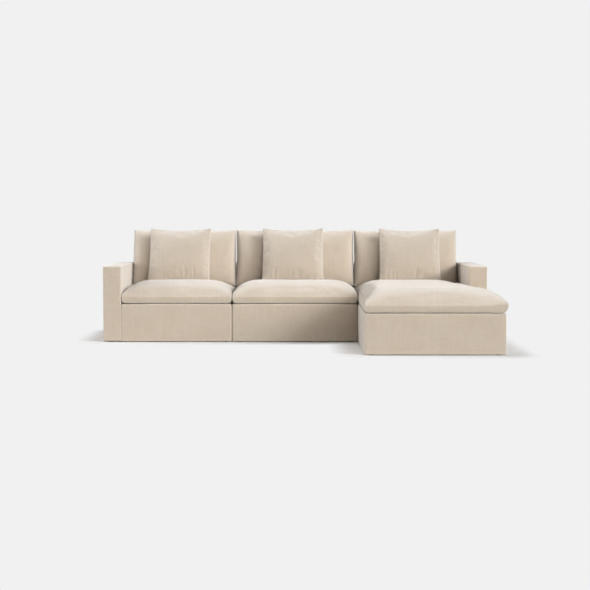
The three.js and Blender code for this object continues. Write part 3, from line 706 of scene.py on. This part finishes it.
def seatLines(low, high, inside, look):
    # fine next to each edge, at the sine's spacing, and even between
    width = look["strip"]
    strip = width * (1 - np.cos(np.linspace(0, np.pi / 2, look["edgeSteps"] + 1)))
    lines = [low + strip, high - strip] + [place - strip for place in inside]
    stops = [low + width] + [s for p in inside for s in (p - width, p)] + [high - width]
    for start, end in zip(stops[::2], stops[1::2]):
        lines.append(np.linspace(start, end, max(2, round((end - start) / look["step"]) + 1)))
    return np.unique(np.round(np.concatenate(lines), 6))


def smooth(value):
    value = np.clip(value, 0, 1)
    return value * value * (3 - 2 * value)


def quarter(distance, radius):  # a quarter circle, from 0 at no distance to 1 at its radius
    return np.sqrt(1 - (1 - np.clip(distance / radius, 0, 1)) ** 2)


def crownRise(distance, look):
    run, power = look
    return 1 - (1 - np.clip(distance / run, 0, 1)) ** power


def seatShares(x, y, rectangles, sizes, curve):
    # in each rectangle of the plan, the product of the curves that rise from its four sides
    shares = []
    for low, high, kinds in rectangles:
        ways = (x - low[0], high[0] - x, y - low[1], high[1] - y)
        rises = [curve(np.maximum(way, 0), sizes[kind]) for way, kind in zip(ways, kinds)]
        shares.append(np.prod(rises, axis=0))
    return np.array(shares)


def roundPlan(x, y, turns, radius):
    # in each outer corner's square, squares about its inner corner become quarter circles
    for cornerX, cornerY, wayX, wayY in turns:
        startX, startY = cornerX - wayX * radius, cornerY - wayY * radius
        a, b = (x - startX) * wayX / radius, (y - startY) * wayY / radius
        inside = (a > 0) & (b > 0)
        scale = np.maximum(a, b) / np.maximum(np.hypot(a, b), 1e-9)
        x = np.where(inside, startX + (x - startX) * scale, x)
        y = np.where(inside, startY + (y - startY) * scale, y)
    return x, y


def runLength(points, axis):
    # cloth coordinate: the length along each grid line, counted from its middle
    steps = np.linalg.norm(np.diff(points, axis=axis), axis=-1)
    total = np.cumsum(steps, axis=axis)
    total = np.concatenate([np.zeros_like(np.take(total, [0], axis)), total], axis)
    return total - np.take(total, [total.shape[axis] // 2], axis)


def seatMesh(name, look, notch, seed):
    # Two skins over the plan, which meet on its outline: from the middle height the upper one rises to the
    # seam with a quarter circle and then with the crown, and the lower one falls to the base with another.
    # A notch makes the plan an L. Both ends press against what stands beside them.
    low, high = corners(name)
    low[0] -= look["grow"]
    high[0] += look["grow"]
    base = low[2]
    xLines = seatLines(low[0], high[0], [notch[0]] if notch else [], look)
    yLines = seatLines(low[1], high[1], [notch[1]] if notch else [], look)
    x, y = np.meshgrid(xLines, yLines, indexing="ij")
    right = notch[0] if notch else high[0]
    rectangles = [((low[0], low[1]), (right, high[1]), ("held", "held", "front", "rear"))]
    turns = [(low[0], low[1], -1, -1), (low[0], high[1], -1, 1)]
    if notch:
        rectangles.append(((low[0], low[1]), (high[0], notch[1]), ("held", "free", "front", "held")))
        turns += [(notch[0], high[1], 1, 1), (high[0], notch[1], 1, 1), (high[0], low[1], 1, -1)]
    else:
        turns += [(high[0], high[1], 1, 1), (high[0], low[1], 1, -1)]
    front = low[1] if not notch else notch[1]
    behind = np.clip((y - front - look["crestBack"]) / (high[1] - front - look["crestBack"]), 0, None)
    # the crowns of the two rectangles blend, the higher one counting most: (a^n + b^n)^(1/n)
    crowns = seatShares(x, y, rectangles, look["crownRise"], crownRise)
    blend = look["crownBlend"]
    joined = np.minimum((crowns ** blend).sum(0) ** (1 / blend), 1.0) if notch else crowns[0]
    crown = look["crown"] * joined * (1 - look["rearShare"] * behind ** 2)
    ear = smooth((x - notch[0]) / (high[0] - notch[0])) if notch else 0
    middle = look["middleHeight"] + (look["freeMiddle"] - look["middleHeight"]) * ear
    seam = look["seamHeight"] + (look["freeSeam"] - look["seamHeight"]) * ear
    upper = seatShares(x, y, rectangles, look["upper"], quarter).max(0)
    lower = seatShares(x, y, rectangles, look["lower"], quarter).max(0)
    top = base + middle + (seam - middle) * upper + crown
    slit = look["slit"] * (1 - smooth((y - low[1]) / look["slitRun"]))
    bottom = base + middle * (1 - lower) + slit * (1 - ear) * lower
    planX, planY = roundPlan(x, y, turns, look["corner"])
    top = top + look["unevenness"] * ripples(np.stack([x, y, 0 * x], -1), seed, look["unevenLength"]) * upper
    # a seam runs along both ends, and gathers the cloth beside it
    ends = (low[0] + look["seamFrom"], high[0] - look["seamFrom"])
    wander = look["puckerWander"] * ripples(np.stack([0 * x, y, 0 * x], -1), seed + 7, look["puckerLength"])
    gather = look["pucker"] * np.sin(y * 2 * np.pi / look["puckerPitch"] + wander)
    for place in ends:
        beside = np.abs(x - place)
        groove = look["seamDepth"] * np.exp(-(beside / look["seamWidth"]) ** 2)
        top = top - (groove + gather * np.exp(-beside / look["puckerReach"])) * smooth(upper * 1.5)
    kept = np.ones((len(xLines) - 1, len(yLines) - 1), bool)
    if notch:
        middleX, middleY = (x[:-1, :-1] + x[1:, 1:]) / 2, (y[:-1, :-1] + y[1:, 1:]) / 2
        kept = ~((middleX > notch[0]) & (middleY > notch[1]))
    upperGrid = np.stack([planX, planY, top], -1)
    lowerGrid = np.stack([planX, planY, bottom], -1)
    patches = []
    for grid, turned in ((upperGrid, False), (lowerGrid, True)):
        cloth = np.stack([runLength(grid, 0), runLength(grid, 1)], -1)
        patches.append((grid, cloth, kept, turned))
    mesh, order = sewMesh(name + "_cover", patches)
    loose = np.concatenate([smooth(upper * 2).reshape(-1), np.zeros(lower.size)])[order]
    lines = []
    for place in ends:
        row = int(np.argmin(np.abs(xLines - place)))
        reach = kept[min(row, kept.shape[0] - 1)].sum() + 1
        lines.append(np.concatenate([upperGrid[row, :reach][::-1], lowerGrid[row, 1:reach]]))
    return mesh, loose, lines


# Back cushions and throw pillows

backSet = {
    "height": 0.496, "front": 0.094, "rear": 0.032, "lean": 20,
    "inset": 0.005, "drawIn": 0.001, "sag": 0.016, "baseSag": 0.016,
    "steps": (76, 44), "sidePower": 12, "sideRoot": 0.42, "endRoot": 0.48, "fill": 0.65, "rearLoose": 0.3,
    "sim": {"pressure": 0.1, "shrink": -0.003, "bending": 2.0, "cap": 0.008},
    "gather": 0, "gatherPitch": 0.04, "gatherReach": 0.04, "drop": 0.006, "forward": 0, "place": (0, 0),
}
pillowSet = {
    "height": 0.480, "front": 0.082, "rear": 0.060, "lean": 25,
    "inset": 0, "drawIn": 0.005, "sag": 0.024, "baseSag": 0.006,
    "steps": (66, 66), "sidePower": 2.4, "sideRoot": 0.56, "endRoot": 0.60, "fill": 0.6, "rearLoose": 0.15,
    "sim": {"pressure": 0.3, "shrink": -0.008, "bending": 5.0, "cap": 0.008},
    "gather": 0.0030, "gatherPitch": 0.036, "gatherReach": 0.042, "drop": 0.008, "forward": 0.020,
}
# how much each pillow leans sideways, and how far it sits from the middle of its solid
pillowPlaces = {"left": (0.010, -0.016), "centre": (0.0, -0.009), "chaise": (0.010, 0.0)}
foldSet = {"base": 0.45, "change": 0.6, "changeLength": 0.11, "wander": 3, "wanderLength": 0.16}


def spread(count):  # from -1 to 1, closer together at both ends
    even = np.linspace(-1, 1, count + 1)
    return (even + np.sin(even * np.pi / 2)) / 2


def knifeMesh(name, look, seed):
    # Two skins over the square |u|, |v| < 1 that meet at its edge: each side is drawn in by a parabola,
    # and the skins swell with (1 - |u|^sidePower)^sideRoot times (1 - v^2)^endRoot.
    low, high = corners(name)
    width, height = high[0] - low[0], look["height"]
    lean = math.radians(look["lean"])
    u, v = np.meshgrid(spread(look["steps"][0]), spread(look["steps"][1]), indexing="ij")
    up = v * (height / 2 - np.where(v > 0, look["sag"], look["baseSag"]) * (1 - u * u)) - look["drop"]
    shear, aside = look["place"]
    x = u * (width / 2 - look["inset"] - look["drawIn"] * (1 - v * v)) + shear * up + aside
    across = np.clip(1 - np.abs(u) ** look["sidePower"], 0, 1) ** look["sideRoot"]
    swell = across * np.clip(1 - v * v, 0, 1) ** look["endRoot"]
    # short folds rise from the lower seam, closer together in some places
    line = np.stack([x, 0 * x, 0 * x], -1)
    strength = smooth(foldSet["base"] + foldSet["change"] * ripples(line, seed + 3, foldSet["changeLength"]))
    wander = foldSet["wander"] * ripples(line, seed, foldSet["wanderLength"])
    fold = np.sin(u * width / look["gatherPitch"] * np.pi + wander)
    reach = look["gatherReach"] * (0.5 + strength)
    fold = fold * look["gather"] * strength * np.exp(-(v + 1) * height / 2 / reach) * smooth(swell * 3)
    origin = np.array([
        (low[0] + high[0]) / 2, high[1] - height / 2 * math.sin(lean), high[2] - height / 2 * math.cos(lean),
    ])
    axes = np.array([
        [1, 0, 0], [0, math.sin(lean), math.cos(lean)], [0, -math.cos(lean), math.sin(lean)],
    ])
    kept = np.ones(look["steps"], bool)
    patches = []
    for depth, turned in ((look["front"], False), (-look["rear"], True)):
        out = look["forward"] + depth * swell + fold * (depth > 0)
        grid = origin + np.stack([x, up, out], -1) @ axes
        cloth = np.stack([runLength(grid, 0), runLength(grid, 1)], -1)
        patches.append((grid, cloth, kept, turned))
    mesh, order = sewMesh(name + "_cover", patches)
    inner = smooth(swell * 4).reshape(-1)
    loose = np.concatenate([inner, look["rearLoose"] * inner])[order]
    edge = patches[0][0]
    loop = np.concatenate([edge[:, 0], edge[-1, 1:], edge[-2::-1, -1], edge[0, -2:0:-1]])
    return mesh, loose, [loop]


# Simulation: an inner pressure swells each closed cover, whose cloth is a little too long for its form,
# with no gravity. The seams are held, and no point moves further than its cap.

simSet = {"frames": 20, "quality": 5, "mass": 0.15, "stiffness": 18, "shear": 8, "damping": 6}


def coordinates(mesh):
    values = np.empty(len(mesh.vertices) * 3, np.float32)
    mesh.vertices.foreach_get("co", values)
    return values.reshape(-1, 3).astype(float)


def setCoordinates(mesh, points):
    mesh.vertices.foreach_set("co", points.astype(np.float32).reshape(-1))
    mesh.update()


def hang(piece, look, loose):
    cloth = piece.modifiers.new("cloth", "CLOTH")
    settings = cloth.settings
    settings.quality, settings.mass = simSet["quality"], simSet["mass"]
    settings.tension_stiffness = settings.compression_stiffness = simSet["stiffness"]
    settings.shear_stiffness, settings.bending_stiffness = simSet["shear"], look["bending"]
    settings.tension_damping = settings.compression_damping = settings.shear_damping = simSet["damping"]
    settings.use_pressure, settings.uniform_pressure_force = True, look["pressure"]
    settings.shrink_min = look["shrink"]
    settings.effector_weights.gravity = 0
    cloth.collision_settings.use_collision = False
    cloth.point_cache.frame_end = simSet["frames"]
    piece.vertex_groups.new(name="held").add(np.flatnonzero(loose == 0).tolist(), 1.0, "REPLACE")
    settings.vertex_group_mass = "held"


def swellCushions(cushions):
    scene = bpy.context.scene
    for piece, look, loose in cushions:
        hang(piece, look["sim"], loose)
    for frame in range(1, simSet["frames"] + 1):
        scene.frame_set(frame)
    graph = bpy.context.evaluated_depsgraph_get()
    for piece, look, loose in cushions:
        start = coordinates(piece.data)
        moved = coordinates(piece.evaluated_get(graph).data) - start
        length = np.linalg.norm(moved, axis=1)
        share = look["sim"]["cap"] * loose / np.maximum(length, look["sim"]["cap"])
        share = np.minimum(share, loose)[:, None]
        piece.modifiers.clear()
        setCoordinates(piece.data, start + moved * share)
    scene.frame_set(1)


# Seam cords: a tube along each seam line of a cushion

cordSet = {"radius": 0.0026, "sides": 8, "step": 0.006, "taper": 0.3}


def resample(points, step, closed):
    if closed:
        points = np.concatenate([points, points[:1]])
    lengths = np.concatenate([[0], np.cumsum(np.linalg.norm(np.diff(points, axis=0), axis=1))])
    places = np.linspace(0, lengths[-1], max(8, round(lengths[-1] / step)) + 1)
    if closed:
        places = places[:-1]
    return np.stack([np.interp(places, lengths, points[:, k]) for k in range(3)], -1)


def cordMesh(name, lines, closed, look):
    # around each point of the path stands a ring of one radius, across the path, and open ends are capped
    points, quads, cloth = [], [], []
    start = 0
    for line in lines:
        path = resample(line, look["step"], closed)
        count, sides = len(path), look["sides"]
        if closed:
            along = np.roll(path, -1, axis=0) - np.roll(path, 1, axis=0)
        else:
            along = np.gradient(path, axis=0)
        along /= np.linalg.norm(along, axis=1, keepdims=True)
        # two directions across the path, from the axis that it runs along least on the whole
        least = np.eye(3)[int(np.argmin(np.abs(along).sum(0)))]
        first = np.cross(along, least)
        first /= np.linalg.norm(first, axis=1, keepdims=True)
        second = np.cross(along, first)
        angles = np.linspace(0, 2 * np.pi, sides, endpoint=False)
        radius = np.full(count, look["radius"])
        if not closed:
            radius[[0, -1]] *= look["taper"]
        ring = np.cos(angles)[:, None] * first[:, None] + np.sin(angles)[:, None] * second[:, None]
        points.append((path[:, None] + ring * radius[:, None, None]).reshape(-1, 3))
        rows = np.arange(count if closed else count - 1)[:, None]
        columns = np.arange(sides)[None]
        here, ahead = rows * sides, (rows + 1) % count * sides
        nextColumn = (columns + 1) % sides
        cells = [here + columns, here + nextColumn, ahead + nextColumn, ahead + columns]
        quads += (np.stack(cells, -1).reshape(-1, 4) + start).tolist()
        turn = np.stack(np.broadcast_arrays(rows, columns), -1).reshape(-1, 2)
        corner = turn[:, None] + np.array([[0, 0], [0, 1], [1, 1], [1, 0]])
        cloth.append((corner * np.array([look["step"], 2 * np.pi * look["radius"] / sides])).reshape(-1, 2))
        if not closed:
            last = start + (count - 1) * sides
            quads += [list(range(start, start + sides))[::-1], list(range(last, last + sides))]
            cloth.append(np.zeros((2 * sides, 2)))
        start += count * sides
    mesh = bpy.data.meshes.new(name)
    mesh.from_pydata(np.concatenate(points), [], quads)
    cloth = np.concatenate(cloth).astype(np.float32)
    mesh.uv_layers.new(name="cloth").data.foreach_set("uv", cloth.reshape(-1))
    mesh.shade_smooth()
    return mesh


armGap = 0.003  # between the chaise cushion and the arm that it wraps around
notchPlace = tuple(round(value - armGap, 6) for value in corners("chaise_arm_cover")[0][:2])
cushions = []
for count, module in enumerate(modules):
    notch = notchPlace if module == "chaise" else None
    pillow = dict(pillowSet, place=pillowPlaces[module])
    made = {
        "seat_cushion": (seatMesh(module + "_seat_cushion", seatSet, notch, seeds["seat"] + count), seatSet),
        "back_cushion": (knifeMesh(module + "_back_cushion", backSet, seeds["backCushion"] + count), backSet),
        "throw_pillow": (knifeMesh(module + "_throw_pillow", pillow, seeds["pillow"] + count), pillow),
    }
    for kind, ((mesh, loose, lines), look) in made.items():
        name = module + "_" + kind
        dressed = ("pillow", "pillow_fabric") if kind == "throw_pillow" else ("upholstery", "upholstery")
        piece = addPiece(mesh, name, *dressed, name)
        cushions.append((piece, look, loose))
        cord = cordMesh(name + "_cord", lines, kind != "seat_cushion", cordSet)
        # each cord takes the seam finish, whose lighter colour is a painted highlight
        addPiece(cord, name, "seam", dressed[1])
print("cushions cut:", len(cushions))

swellCushions(cushions)
print("cushions swollen")

for piece, look, loose in cushions:
    finer = piece.modifiers.new("finer", "SUBSURF")
    finer.levels = finer.render_levels = 1
